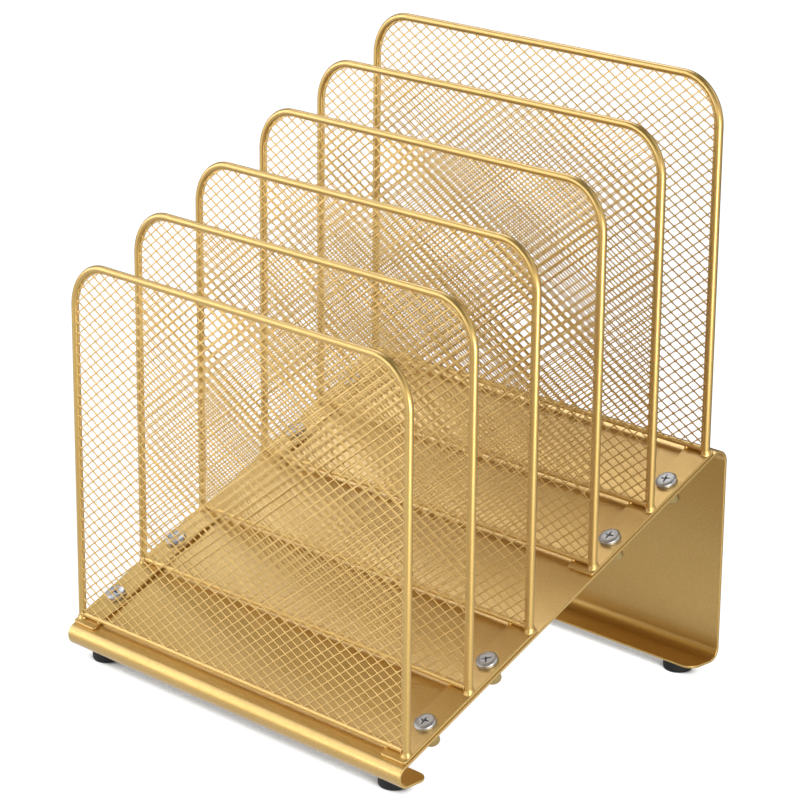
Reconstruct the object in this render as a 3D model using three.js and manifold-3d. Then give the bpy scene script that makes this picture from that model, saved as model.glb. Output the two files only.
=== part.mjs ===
// Desk file organizer: a bent steel base that slopes up to the rear, and six upright
// dividers of round rod and diamond mesh that stand on it in two units of three.
//
// Millimetres. +X is the object's right, -Y its front and +Z up. The origin is on the
// floor, under the middle of the object.
import * as THREE from 'three';
import { mergeVertices } from 'three/addons/utils/BufferGeometryUtils.js';
import Module from 'manifold-3d';

// Base sheet. Its width follows from the dividers and the strips that they stand on.
const baseDepth = 240;
const sheetThickness = 1.5;
const deckAngle = THREE.MathUtils.degToRad(25.3);
const noseRadius = 6.2;
const topBendRadius = 7;
const heelBendRadius = 7;
const frontFlangeDepth = 21.5;
const rearFlangeDepth = 22;
const flangeCornerRadius = 7;

// Feet
const footHeight = 6;
const footRadius = 8;
const footSideInset = 17;
const frontFootInset = 8.2;
const rearFootInset = 8.8;
const footEdgeRadius = 1.6;

// Dividers: the frame's width and rise are taken at the middle of its rod
const frameWidth = 247.4;
const frameRise = 200;
const frameRodRadius = 2;
const frameCornerRadius = 24;
const wireRadius = 1.5;
const weldRadius = 2.6;
const weldHeight = 2.2;

// Where the dividers stand, measured along the slope from the end of the nose's bend
const dividersPerUnit = 3;
const firstDividerAt = 4.8;
const dividerPitch = 47.6;
const unitPitch = 51.2;

// Mesh of a divider: diamonds in a plain border
const meshThickness = 1.2;
const meshBorder = 2.4;
const meshStrand = 2;
const meshColumns = 5;
const meshRows = 6;
const smallestGapArea = 30;

// Side strips
const stripWidth = 17;
const stripThickness = 1.5;
const stripBeyondRod = 2.8;
const stripEdgeInset = 0.5;
const stripBeyondDivider = 4;
const stripCornerRadius = 1.5;

// Screws and nuts. A screw is a little down the slope from the middle of its slot.
const screwShift = 2;
const screwRadius = 2.5;
const screwHeadRadius = 5.7;
const screwHeadHeight = 2.6;
const screwHeadRim = 1;
const recessSpan = 5;
const recessWidth = 0.9;
const recessDepth = 1.3;
const nutRadius = 4;
const nutLength = 9.2;
const nutEdgeRadius = 1.6;
const nutFloor = 1.3;
const screwEndGap = 0.7;

// Clearances
const seatGap = 0.3;
const boreClearance = 0.3;

// How finely round shapes are divided
const rodSides = 8;
const cornerSteps = 6;
const bendSteps = 4;
const edgeSteps = 2;
const turnedSides = 12;
const holeSides = 12;

// Widths that follow from the dividers
const stripOuterX = frameWidth / 2 + stripBeyondRod;
const stripCentreX = stripOuterX - stripWidth / 2;
const baseWidth = 2 * (stripOuterX + stripEdgeInset);

// Heights above the deck's upper face, square to it
const stripBase = seatGap;
const stripTop = stripBase + stripThickness;
const weldPlane = stripTop + seatGap;

const xAxis = new THREE.Vector3(1, 0, 0);
const yAxis = new THREE.Vector3(0, 1, 0);
const zAxis = new THREE.Vector3(0, 0, 1);

const wasm = await Module();
wasm.setup();

// Closed solid of a geometry, for cutting and joining. Points that coincide are merged,
// and the triangles that this leaves without an area are dropped.
function solidOf(geometry, matrix = new THREE.Matrix4()) {
  const bare = geometry.clone().applyMatrix4(matrix);
  bare.deleteAttribute('normal');
  bare.deleteAttribute('uv');
  const merged = mergeVertices(bare, 1e-4);
  const triangles = [];
  for (let i = 0; i < merged.index.count; i += 3) {
    const [a, b, c] = [0, 1, 2].map((k) => merged.index.getX(i + k));
    if (a !== b && b !== c && c !== a) triangles.push(a, b, c);
  }
  return new wasm.Manifold(new wasm.Mesh({
    numProp: 3,
    vertProperties: new Float32Array(merged.attributes.position.array),
    triVerts: new Uint32Array(triangles),
  }));
}

function geometryOf(solid) {
  const { vertProperties, triVerts } = solid.getMesh();
  const geometry = new THREE.BufferGeometry();
  geometry.setAttribute('position', new THREE.BufferAttribute(vertProperties, 3));
  geometry.setIndex(new THREE.BufferAttribute(triVerts, 1));
  geometry.computeVertexNormals();
  return geometry;
}

function material(color, roughness, metalness) {
  return new THREE.MeshStandardMaterial({ color, roughness, metalness });
}

const goldCoat = material(0xcfa85a, 0.42, 0.55);
const zincPlate = material(0xaeb1b5, 0.35, 0.9);
const yellowZinc = material(0xc9a45c, 0.45, 0.8);
const blackRubber = material(0x17171a, 0.85, 0);

const organizer = new THREE.Group();

function addPiece(parent, name, geometry, finish) {
  const mesh = new THREE.Mesh(geometry, finish);
  mesh.name = name;
  parent.add(mesh);
  return mesh;
}

// Polygon points on an arc, in degrees from the first axis towards the second
function arcPoints(centreU, centreV, radius, from, to, steps) {
  return Array.from({ length: steps + 1 }, (_, i) => {
    const angle = THREE.MathUtils.degToRad(from + ((to - from) * i) / steps);
    return new THREE.Vector2(centreU + radius * Math.cos(angle), centreV + radius * Math.sin(angle));
  });
}

// Solid turned about +Z from its profile of [radius, height] pairs, listed upwards
function turned(profile) {
  const points = profile.map(([radius, height]) => new THREE.Vector2(radius, height));
  return new THREE.LatheGeometry(points, turnedSides).rotateX(Math.PI / 2);
}

// Profile points of the rounded lower edge of a turned piece
function roundedEdge(radius, bottom, edgeRadius) {
  const points = arcPoints(radius - edgeRadius, bottom + edgeRadius, edgeRadius, -90, 0, edgeSteps);
  return points.map((p) => [p.x, p.y]);
}

// Places on the base: the centres of its three bends, in the plane of Y and Z
const front = -baseDepth / 2;
const rear = baseDepth / 2;
const sinDeck = Math.sin(deckAngle);
const cosDeck = Math.cos(deckAngle);
const noseCentre = new THREE.Vector2(front + noseRadius, footHeight + noseRadius);
const heelCentre = new THREE.Vector2(rear - heelBendRadius, footHeight + heelBendRadius);
const deckLevel = noseRadius - sinDeck * noseCentre.x + cosDeck * noseCentre.y;
const topCentreY = rear - topBendRadius;
const topCentre = new THREE.Vector2(
  topCentreY,
  (deckLevel - topBendRadius + sinDeck * topCentreY) / cosDeck,
);

// The deck's own frame starts where the nose's bend ends: X across, Y up the slope
const deckStart = new THREE.Vector3(
  0,
  noseCentre.x - noseRadius * sinDeck,
  noseCentre.y + noseRadius * cosDeck,
);
const deck = new THREE.Group();
deck.position.copy(deckStart);
deck.rotation.x = deckAngle;
deck.updateMatrixWorld();
organizer.add(deck);

// Where the dividers and the screws are along the slope
const unitStarts = [firstDividerAt];
unitStarts.push(firstDividerAt + (dividersPerUnit - 1) * dividerPitch + unitPitch);
const dividersAt = unitStarts.flatMap((start) => (
  Array.from({ length: dividersPerUnit }, (_, i) => start + i * dividerPitch)
));
const screwsAt = unitStarts.flatMap((start) => (
  Array.from({ length: dividersPerUnit - 1 }, (_, i) => start + (i + 0.5) * dividerPitch - screwShift)
));
const sides = [['left', -1], ['right', 1]];

function drillForScrew(side, along) {
  const radius = screwRadius + boreClearance;
  const drill = new THREE.CylinderGeometry(radius, radius, 4 * sheetThickness, holeSides);
  return drill.rotateX(Math.PI / 2).translate(side * stripCentreX, along, 0);
}

// Outline of the bent sheet: the outer face from the front flange's edge round to the
// rear flange's edge, and back along the inner face
function sheetOutline() {
  const deckSide = Math.PI / 2 + deckAngle;
  const outline = new THREE.Shape();
  outline.moveTo(front + frontFlangeDepth, footHeight);
  outline.absarc(noseCentre.x, noseCentre.y, noseRadius, 1.5 * Math.PI, deckSide, true);
  outline.absarc(topCentre.x, topCentre.y, topBendRadius, deckSide, 0, true);
  outline.absarc(heelCentre.x, heelCentre.y, heelBendRadius, 0, -Math.PI / 2, true);
  outline.lineTo(rear - rearFlangeDepth, footHeight);
  outline.lineTo(rear - rearFlangeDepth, footHeight + sheetThickness);
  const heelInner = heelBendRadius - sheetThickness;
  const topInner = topBendRadius - sheetThickness;
  const noseInner = noseRadius - sheetThickness;
  outline.absarc(heelCentre.x, heelCentre.y, heelInner, -Math.PI / 2, 0, false);
  outline.absarc(topCentre.x, topCentre.y, topInner, 0, deckSide, false);
  outline.absarc(noseCentre.x, noseCentre.y, noseInner, deckSide, 1.5 * Math.PI, false);
  outline.lineTo(front + frontFlangeDepth, footHeight + sheetThickness);
  return outline;
}

// What is cut off a flange's corner to round it. The signs point from the flange's
// middle to the corner.
function cornerCut(cornerX, cornerY, signX, signY) {
  const reach = sheetThickness;
  const radius = flangeCornerRadius;
  const centreX = cornerX - signX * radius;
  const centreY = cornerY - signY * radius;
  const points = Array.from({ length: cornerSteps + 1 }, (_, i) => {
    const angle = (i / cornerSteps) * (Math.PI / 2);
    return new THREE.Vector2(
      centreX + signX * radius * Math.cos(angle),
      centreY + signY * radius * Math.sin(angle),
    );
  });
  points.push(new THREE.Vector2(centreX, cornerY + signY * reach));
  points.push(new THREE.Vector2(cornerX + signX * reach, cornerY + signY * reach));
  points.push(new THREE.Vector2(cornerX + signX * reach, centreY));
  const cut = new THREE.ExtrudeGeometry(new THREE.Shape(points), {
    depth: 3 * sheetThickness,
    bevelEnabled: false,
  });
  return cut.translate(0, 0, footHeight - sheetThickness);
}

function makeBaseSheet() {
  const profileToBody = new THREE.Matrix4().makeBasis(yAxis, zAxis, xAxis);
  const sheet = new THREE.ExtrudeGeometry(sheetOutline(), {
    depth: baseWidth,
    bevelEnabled: false,
    curveSegments: bendSteps,
  });
  sheet.applyMatrix4(profileToBody).translate(-baseWidth / 2, 0, 0);
  let solid = solidOf(sheet);
  for (const [, side] of sides) {
    const edgeX = (side * baseWidth) / 2;
    solid = solid.subtract(solidOf(cornerCut(edgeX, front + frontFlangeDepth, side, 1)));
    solid = solid.subtract(solidOf(cornerCut(edgeX, rear - rearFlangeDepth, side, -1)));
    for (const along of screwsAt) {
      solid = solid.subtract(solidOf(drillForScrew(side, along), deck.matrix));
    }
  }
  return geometryOf(solid);
}

addPiece(organizer, 'base_sheet', makeBaseSheet(), goldCoat);

// Feet: each one's middle is set in from its flange's free edge and from the side
const frontFootY = front + frontFlangeDepth - frontFootInset;
const rearFootY = rear - rearFlangeDepth + rearFootInset;
const footX = baseWidth / 2 - footSideInset;

function makeFoot() {
  const edge = roundedEdge(footRadius, 0, footEdgeRadius);
  const profile = [[0, 0], ...edge, [footRadius, footHeight], [0, footHeight]];
  return geometryOf(solidOf(turned(profile)));
}

const footGeometry = makeFoot();
for (const [sideName, side] of sides) {
  for (const [endName, footY] of [['front', frontFootY], ['rear', rearFootY]]) {
    const foot = addPiece(organizer, `foot_${endName}_${sideName}`, footGeometry, blackRubber);
    foot.position.set(side * footX, footY, 0);
  }
}

// Side strips: flat bars on the deck, one at each side of each unit
const stripLength = (dividersPerUnit - 1) * dividerPitch + 2 * stripBeyondDivider;

function makeStrip() {
  const halfWidth = stripWidth / 2;
  const halfLength = stripLength / 2;
  const radius = stripCornerRadius;
  const corners = [
    arcPoints(halfWidth - radius, halfLength - radius, radius, 0, 90, edgeSteps),
    arcPoints(radius - halfWidth, halfLength - radius, radius, 90, 180, edgeSteps),
    arcPoints(radius - halfWidth, radius - halfLength, radius, 180, 270, edgeSteps),
    arcPoints(halfWidth - radius, radius - halfLength, radius, 270, 360, edgeSteps),
  ];
  const outline = new THREE.Shape(corners.flat());
  for (let i = 0; i < dividersPerUnit - 1; i += 1) {
    const holeAt = (i + 0.5 - (dividersPerUnit - 1) / 2) * dividerPitch - screwShift;
    const hole = arcPoints(0, holeAt, screwRadius + boreClearance, 360, 0, holeSides);
    outline.holes.push(new THREE.Path(hole.slice(0, -1)));
  }
  const strip = new THREE.ExtrudeGeometry(outline, { depth: stripThickness, bevelEnabled: false });
  return geometryOf(solidOf(strip));
}

const stripGeometry = makeStrip();
const unitNames = ['front', 'rear'];
unitStarts.forEach((start, unit) => {
  const middle = start + ((dividersPerUnit - 1) * dividerPitch) / 2;
  for (const [sideName, side] of sides) {
    const strip = addPiece(deck, `side_strip_${unitNames[unit]}_${sideName}`, stripGeometry, goldCoat);
    strip.position.set(side * stripCentreX, middle, stripBase);
  }
});

// A path through a few points, with one step of an extrusion for each stretch
class PointPath extends THREE.Curve {
  constructor(points) {
    super();
    this.points = points;
  }

  getPoint(t, target = new THREE.Vector3()) {
    const last = this.points.length - 1;
    const place = THREE.MathUtils.clamp(t, 0, 1) * last;
    const i = Math.min(Math.floor(place), last - 1);
    return target.lerpVectors(this.points[i], this.points[i + 1], place - i);
  }

  getPointAt(u, target) {
    return this.getPoint(u, target);
  }

  getTangentAt(u, target) {
    return this.getTangent(u, target);
  }
}

function roundSection(radius, count) {
  return new THREE.Shape(arcPoints(0, 0, radius, 0, 360, count).slice(0, -1));
}

// The part of space below the plane of the strips' tops, seen from a divider's own
// frame, whose origin is on the deck's upper face
function belowWeldPlane() {
  const size = 2 * frameWidth;
  const block = new THREE.BoxGeometry(size, size, size).translate(0, 0, weldPlane - size / 2);
  return solidOf(block, new THREE.Matrix4().makeRotationX(deckAngle));
}

// Frame of a divider: one rod bent into an inverted U, with the weld at each foot. Both
// ends are cut off along the slope, so that they sit flat on the strips.
function makeFrame() {
  const halfWidth = frameWidth / 2;
  const cornerX = halfWidth - frameCornerRadius;
  const cornerZ = frameRise - frameCornerRadius;
  const below = -frameRodRadius;
  const line = [
    new THREE.Vector2(-halfWidth, below),
    ...arcPoints(-cornerX, cornerZ, frameCornerRadius, 180, 90, cornerSteps),
    ...arcPoints(cornerX, cornerZ, frameCornerRadius, 90, 0, cornerSteps),
    new THREE.Vector2(halfWidth, below),
  ];
  const path = new PointPath(line.map((p) => new THREE.Vector3(p.x, 0, p.y)));
  const rod = new THREE.ExtrudeGeometry(roundSection(frameRodRadius, rodSides), {
    steps: line.length - 1,
    extrudePath: path,
  });
  let solid = solidOf(rod);
  const footRise = weldPlane / cosDeck;
  for (const [, side] of sides) {
    const weld = new THREE.SphereGeometry(1, rodSides, 2 * edgeSteps).rotateX(Math.PI / 2);
    weld.scale(weldRadius, weldRadius, weldHeight).rotateX(deckAngle);
    weld.translate(side * halfWidth, 0, footRise);
    solid = solid.add(solidOf(weld));
  }
  return geometryOf(solid.subtract(belowWeldPlane()));
}

// Bottom wire of a divider, between the welds of its two uprights and just above the strips
const wireRise = (weldPlane + wireRadius) / cosDeck;

function makeBottomWire() {
  const length = frameWidth - 2 * (weldRadius + seatGap);
  const wire = new THREE.CylinderGeometry(wireRadius, wireRadius, length, rodSides);
  return geometryOf(solidOf(wire.rotateZ(Math.PI / 2).translate(0, 0, wireRise)));
}

// Part of a convex outline that lies in another convex outline, both counterclockwise
function clipConvex(outline, window) {
  let kept = outline;
  for (let i = 0; i < window.length && kept.length; i += 1) {
    const start = window[i];
    const along = window[(i + 1) % window.length].clone().sub(start);
    const height = (p) => along.cross(p.clone().sub(start));
    const next = [];
    kept.forEach((p, k) => {
      const q = kept[(k + 1) % kept.length];
      const [hp, hq] = [height(p), height(q)];
      if (hp >= 0) next.push(p);
      if (hp * hq < 0) next.push(p.clone().lerp(q, hp / (hp - hq)));
    });
    kept = next;
  }
  return kept;
}

// Rectangle whose two upper corners are rounded, counterclockwise
function archedOutline(halfWidth, bottom, top, radius, steps) {
  return [
    new THREE.Vector2(-halfWidth, bottom),
    new THREE.Vector2(halfWidth, bottom),
    ...arcPoints(halfWidth - radius, top - radius, radius, 0, 90, steps),
    ...arcPoints(radius - halfWidth, top - radius, radius, 90, 180, steps),
  ];
}

// Plate in the plane of a divider, with an outline in X and Z
function uprightPlate(outline, thickness) {
  const plate = new THREE.ExtrudeGeometry(new THREE.Shape(outline), {
    depth: thickness,
    bevelEnabled: false,
  });
  const upright = new THREE.Matrix4().makeBasis(xAxis, zAxis, yAxis.clone().negate());
  return plate.applyMatrix4(upright).translate(0, thickness / 2, 0);
}

// Mesh of a divider: diamonds in staggered rows, cut off along the plain border
const meshHalfWidth = frameWidth / 2 - frameRodRadius - seatGap;
const meshBottom = wireRise + wireRadius + seatGap;
const meshTop = frameRise - frameRodRadius - seatGap;
const meshCornerRadius = frameCornerRadius - frameRodRadius - seatGap;

function makeMesh() {
  const innerHalf = meshHalfWidth - meshBorder;
  const innerBottom = meshBottom + meshBorder;
  const innerTop = meshTop - meshBorder;
  const innerRadius = meshCornerRadius - meshBorder;
  const window = archedOutline(innerHalf, innerBottom, innerTop, innerRadius, edgeSteps + 1);
  const cellWidth = (2 * innerHalf) / meshColumns;
  const cellHeight = (innerTop - innerBottom) / meshRows;
  const [a, b] = [cellWidth / 2, cellHeight / 2];
  const shrink = 1 - (meshStrand / 2) * (Math.hypot(a, b) / (a * b));
  const outer = archedOutline(meshHalfWidth, meshBottom, meshTop, meshCornerRadius, cornerSteps);
  let net = solidOf(uprightPlate(outer, meshThickness));
  for (let row = 0; row <= 2 * meshRows; row += 1) {
    for (let column = row % 2; column <= 2 * meshColumns; column += 2) {
      const x = column * a - innerHalf;
      const z = row * b + innerBottom;
      const diamond = [[1, 0], [0, 1], [-1, 0], [0, -1]].map(([u, v]) => (
        new THREE.Vector2(x + u * a * shrink, z + v * b * shrink)
      ));
      const gap = clipConvex(diamond, window);
      if (gap.length > 2 && THREE.ShapeUtils.area(gap) > smallestGapArea) {
        net = net.subtract(solidOf(uprightPlate(gap, 2 * meshThickness)));
      }
    }
  }
  return geometryOf(net);
}

const frameGeometry = makeFrame();
const wireGeometry = makeBottomWire();
const meshGeometry = makeMesh();
dividersAt.forEach((along, i) => {
  const divider = new THREE.Group();
  divider.position.set(0, deckStart.y + along * cosDeck, deckStart.z + along * sinDeck);
  organizer.add(divider);
  addPiece(divider, `divider_${i + 1}_frame`, frameGeometry, goldCoat);
  addPiece(divider, `divider_${i + 1}_bottom_wire`, wireGeometry, goldCoat);
  addPiece(divider, `divider_${i + 1}_mesh`, meshGeometry, goldCoat);
});

// Screws: a domed head with a cross recess on the strip, and a plain shank down into
// the nut. The height is measured from the deck's upper face.
const headBase = stripTop + seatGap;
const headTop = headBase + screwHeadHeight;
const nutTop = -sheetThickness - seatGap;
const boreEnd = nutTop - nutLength + nutFloor;

function makeScrew() {
  const rimTop = headBase + screwHeadRim;
  const dome = arcPoints(0, rimTop, 1, 0, 90, edgeSteps + 1).map((p) => [
    p.x * screwHeadRadius,
    rimTop + (p.y - rimTop) * (screwHeadHeight - screwHeadRim),
  ]);
  const profile = [
    [0, boreEnd + screwEndGap],
    [screwRadius, boreEnd + screwEndGap],
    [screwRadius, headBase],
    [screwHeadRadius, headBase],
    ...dome.slice(0, -1),
    [0, headTop],
  ];
  let solid = solidOf(turned(profile));
  for (const turn of [0, Math.PI / 2]) {
    const slot = new THREE.BoxGeometry(recessSpan, recessWidth, 2 * recessDepth);
    solid = solid.subtract(solidOf(slot.rotateZ(turn).translate(0, 0, headTop)));
  }
  return geometryOf(solid);
}

function makeNut() {
  const nutBottom = nutTop - nutLength;
  const boreRadius = screwRadius + boreClearance;
  const edge = roundedEdge(nutRadius, nutBottom, nutEdgeRadius);
  const profile = [
    [0, nutBottom],
    ...edge,
    [nutRadius, nutTop],
    [boreRadius, nutTop],
    [boreRadius, boreEnd],
    [0, boreEnd],
  ];
  return geometryOf(solidOf(turned(profile)));
}

const screwGeometry = makeScrew();
const nutGeometry = makeNut();
screwsAt.forEach((along, i) => {
  for (const [sideName, side] of sides) {
    const screw = addPiece(deck, `screw_${sideName}_${i + 1}`, screwGeometry, zincPlate);
    const nut = addPiece(deck, `nut_${sideName}_${i + 1}`, nutGeometry, yellowZinc);
    screw.position.set(side * stripCentreX, along, 0);
    nut.position.set(side * stripCentreX, along, 0);
  }
});

export default organizer;
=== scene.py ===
# %% [markdown]
# # Desk file organizer in gold powder coat
# The organizer is one bent steel sheet that slopes up to the rear, with six upright dividers
# on it. Its construction comes ready made and isn't changed here. This script gives each piece
# its fine surface and finish: smooth bends and rods, welded feet, the diamond net, screws with
# a cross recess, and a satin gold coat.

# %% Load the construction
import math

import bpy
import numpy as np
from mathutils import Matrix, Vector


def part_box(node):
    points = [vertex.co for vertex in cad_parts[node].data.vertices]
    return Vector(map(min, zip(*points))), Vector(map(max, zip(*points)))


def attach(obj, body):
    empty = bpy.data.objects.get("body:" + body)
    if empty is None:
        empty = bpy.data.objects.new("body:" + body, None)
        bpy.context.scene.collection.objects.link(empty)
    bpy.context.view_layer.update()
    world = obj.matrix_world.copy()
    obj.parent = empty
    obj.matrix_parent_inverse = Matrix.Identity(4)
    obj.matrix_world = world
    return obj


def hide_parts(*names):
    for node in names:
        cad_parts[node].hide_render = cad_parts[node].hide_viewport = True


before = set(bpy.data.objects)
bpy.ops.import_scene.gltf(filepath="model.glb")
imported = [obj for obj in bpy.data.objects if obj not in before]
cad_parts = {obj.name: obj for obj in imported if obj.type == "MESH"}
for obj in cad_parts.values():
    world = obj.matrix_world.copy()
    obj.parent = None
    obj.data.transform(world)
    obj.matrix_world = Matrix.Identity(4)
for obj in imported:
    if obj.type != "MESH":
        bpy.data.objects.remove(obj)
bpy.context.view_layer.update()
print("pieces in the construction:", len(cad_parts))

# %% [markdown]
# ## Sizes
# Sizes are in millimetres, as a maker would write them, and become metres only when the points
# go into a mesh. The height of a divider's foot comes from the bottom wire of the same divider.
# Heights above the deck are measured square to it, and places on it along its slope.

# %% Driving sizes
MM = 0.001
SHEET_THICKNESS = 1.5
DECK_ANGLE = math.radians(25.3)
BASE_DEPTH, BASE_WIDTH = 240.0, 254.0
NOSE_RADIUS, TOP_RADIUS, HEEL_RADIUS = 6.2, 7.0, 7.0
FRONT_FLANGE, REAR_FLANGE, FLANGE_CORNER = 21.5, 22.0, 7.0
FOOT_HEIGHT = 6.0
ROD_RADIUS, WIRE_RADIUS = 2.0, 1.5
FRAME_HALF_WIDTH, FRAME_RISE, FRAME_CORNER = 123.7, 200.0, 24.0
STRIP_WIDTH, STRIP_CORNER, STRIP_INSET = 17.0, 1.5, 0.5
STRIP_TOP, STRIP_BEYOND_DIVIDER = 1.8, 4.0
WIRE_ABOVE_STRIP = 0.3
DIVIDER_PITCH, UNIT_PITCH, FIRST_DIVIDER = 47.6, 51.2, 4.8
DIVIDERS_PER_UNIT = 3
print("base:", BASE_WIDTH, "by", BASE_DEPTH, "mm")

# %% Places that follow from them
SIN, COS, TAN = math.sin(DECK_ANGLE), math.cos(DECK_ANGLE), math.tan(DECK_ANGLE)
NOSE_CENTRE = np.array([NOSE_RADIUS - BASE_DEPTH / 2, FOOT_HEIGHT + NOSE_RADIUS])
DECK_START = NOSE_CENTRE + NOSE_RADIUS * np.array([-SIN, COS])
WIRE_RISE = (STRIP_TOP + WIRE_ABOVE_STRIP + WIRE_RADIUS) / COS
STRIP_CENTRE_X = BASE_WIDTH / 2 - STRIP_INSET - STRIP_WIDTH / 2
UNIT_LENGTH = (DIVIDERS_PER_UNIT - 1) * DIVIDER_PITCH
UNIT_STARTS = [FIRST_DIVIDER, FIRST_DIVIDER + UNIT_LENGTH + UNIT_PITCH]
DIVIDERS = range(1, 2 * DIVIDERS_PER_UNIT + 1)
SIDES = {"left": -1, "right": 1}


def divider_foot(number):
    """Y and Z where a divider stands on the deck: the middle of its bottom wire, less the
    wire's rise in Z."""
    low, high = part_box(f"divider_{number}_bottom_wire")
    middle = (np.array(low) + np.array(high)) / 2 / MM
    return middle[1], middle[2] - WIRE_RISE


for number in DIVIDERS:
    print(f"divider {number} stands at y, z:", np.round(divider_foot(number), 2))

# %% [markdown]
# ## From points to a mesh
# A surface here is rings of points, each ring joined to the next by four-sided faces. These
# helpers join rings, turn a shell's faces outwards and make the finished piece. A piece's place
# is in its points, so that its object stays at the origin and a pattern on it doesn't slide.

# %% Join rings of points
def ring_quads(rings, sides):
    """Faces between each ring and the next one, closed around: point, its neighbour in the
    ring, and the same two in the next ring."""
    ring, side = np.meshgrid(np.arange(rings - 1), np.arange(sides), indexing="ij")
    here = ring * sides + side
    beside = ring * sides + (side + 1) % sides
    return np.stack([here, beside, beside + sides, here + sides], -1).reshape(-1, 4)


def end_caps(rings, sides):
    """The two faces that close a tube, one over its first ring and one over its last."""
    first = np.arange(sides)[::-1]
    last = np.arange(sides) + (rings - 1) * sides
    return np.stack([first, last])


def turned_outwards(points, blocks):
    """The same faces, turned round if the volume that they enclose comes out negative. The
    volume is the sum over fans of triangles of the triple product of their corners, over 6."""
    volume = 0.0
    for block in blocks:
        for k in range(1, block.shape[1] - 1):
            a, b, c = points[block[:, 0]], points[block[:, k]], points[block[:, k + 1]]
            volume += np.einsum("ij,ij->", a, np.cross(b, c))
    return [block[:, ::-1] for block in blocks] if volume < 0 else blocks


def tube_shell(rings):
    """Closed shell over an array of rings, of shape (rings, sides, 3), as points and faces."""
    count, sides = rings.shape[:2]
    points = rings.reshape(-1, 3)
    return points, turned_outwards(points, [ring_quads(count, sides), end_caps(count, sides)])


def joined(shells):
    """Several shells as one: their points in a row, their faces numbered on."""
    blocks, start = [], 0
    for points, faces in shells:
        blocks += [block + start for block in faces]
        start += len(points)
    return np.concatenate([points for points, _ in shells]), blocks


def once_around(sides):
    """Angles of this many points spaced evenly around a circle."""
    return np.linspace(0, 2 * math.pi, sides, endpoint=False)


print("sides of a box:", len(ring_quads(2, 4)))


# %% Make a piece and put it in the place of its node
def make_piece(node, shell, ending, material, slot, normals=None, sharp_angle=40):
    """Fills a mesh with a shell, shades it smooth, and lets it stand for its node. It takes
    exact normals if given, and otherwise keeps edges over the sharp angle crisp."""
    points, blocks = shell
    mesh = bpy.data.meshes.new(f"{node}.{ending}")
    corners = np.concatenate([block.ravel() for block in blocks])
    sizes = np.concatenate([np.full(len(block), block.shape[1]) for block in blocks])
    mesh.vertices.add(len(points))
    mesh.vertices.foreach_set("co", (points * MM).astype(np.float32).ravel())
    mesh.loops.add(len(corners))
    mesh.loops.foreach_set("vertex_index", corners.astype(np.int32))
    mesh.polygons.add(len(sizes))
    mesh.polygons.foreach_set("loop_start", (np.cumsum(sizes) - sizes).astype(np.int32))
    mesh.update(calc_edges=True)
    mesh.validate()
    mesh.shade_smooth()
    if normals is None:
        mesh.set_sharp_from_angle(angle=math.radians(sharp_angle))
    else:
        mesh.normals_split_custom_set_from_vertices(normals.reshape(-1, 3).tolist())
    mesh.materials.append(material)
    piece = bpy.data.objects.new(f"{node}.{ending}", mesh)
    bpy.context.scene.collection.objects.link(piece)
    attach(piece, "root")
    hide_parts(node)
    return piece


def on_deck(x, along, height):
    """Point in space from a place on the deck: along the slope, and height square to it."""
    y = DECK_START[0] + along * COS - height * SIN
    z = DECK_START[1] + along * SIN + height * COS
    return np.stack(np.broadcast_arrays(x, y, z), -1)


print("the deck starts at y, z:", np.round(DECK_START, 2))

# %% [markdown]
# ## Camera
# The camera stands at the front right, a little above the dividers, with a long lens from more
# than a metre and a half away, so that the edges nearly stay parallel. Its place and its angles
# were worked out from the rods' straight lines.

# %% Camera
CAMERA_PLACE = (1.0863, -1.0735, 0.6429)
CAMERA_AZIMUTH, CAMERA_ELEVATION, CAMERA_ROLL = (math.radians(a) for a in (45.231, 17.934, 0.539))
CAMERA_LENS, SENSOR_WIDTH = 138.18, 36

level_right = Vector((math.cos(CAMERA_AZIMUTH), math.sin(CAMERA_AZIMUTH), 0))
backwards = Vector((
    math.sin(CAMERA_AZIMUTH) * math.cos(CAMERA_ELEVATION),
    -math.cos(CAMERA_AZIMUTH) * math.cos(CAMERA_ELEVATION),
    math.sin(CAMERA_ELEVATION),
))
turn = Matrix.Rotation(CAMERA_ROLL, 4, backwards)
right = turn @ level_right
up = turn @ backwards.cross(level_right)
camera = bpy.data.objects.new("camera", bpy.data.cameras.new("camera"))
camera.data.lens = CAMERA_LENS
camera.data.sensor_width = SENSOR_WIDTH
camera.data.dof.use_dof = False
camera_axes = Matrix((right, up, backwards)).transposed().to_4x4()
camera.matrix_world = Matrix.Translation(CAMERA_PLACE) @ camera_axes
bpy.context.scene.collection.objects.link(camera)
bpy.context.scene.camera = camera
print("camera looks along", [round(c, 3) for c in -backwards])

# %% [markdown]
# ## Nodes and colours
# Colours are written as they look on a screen, and one function turns them to the linear values
# that the shaders work in. One more adds a node with its settings and links. Most finishes
# here are two close colours in cloudy spots.

# %% Colour and node helpers
def linear(code):
    """Linear red, green, blue and alpha of an sRGB hex colour: each channel over 12.92 below
    0.04045, and otherwise (channel + 0.055) / 1.055 to the power 2.4."""
    channels = [int(code[i:i + 2], 16) / 255 for i in (1, 3, 5)]
    return [c / 12.92 if c <= 0.04045 else ((c + 0.055) / 1.055) ** 2.4 for c in channels] + [1.0]


def add_node(tree, kind, settings=None, links=None):
    """Adds a node. Settings name its own properties or its input sockets, and links give the
    output that feeds an input, by the input's name or number."""
    node = tree.nodes.new(kind)
    for name, value in (settings or {}).items():
        if isinstance(name, str) and hasattr(node, name):
            setattr(node, name, value)
        else:
            node.inputs[name].default_value = value
    for name, output in (links or {}).items():
        tree.links.new(output, node.inputs[name])
    return node


def new_material(name):
    """An empty node material, and its tree."""
    material = bpy.data.materials.new(name)
    material.use_nodes = True
    material.node_tree.nodes.clear()
    return material, material.node_tree


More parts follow.
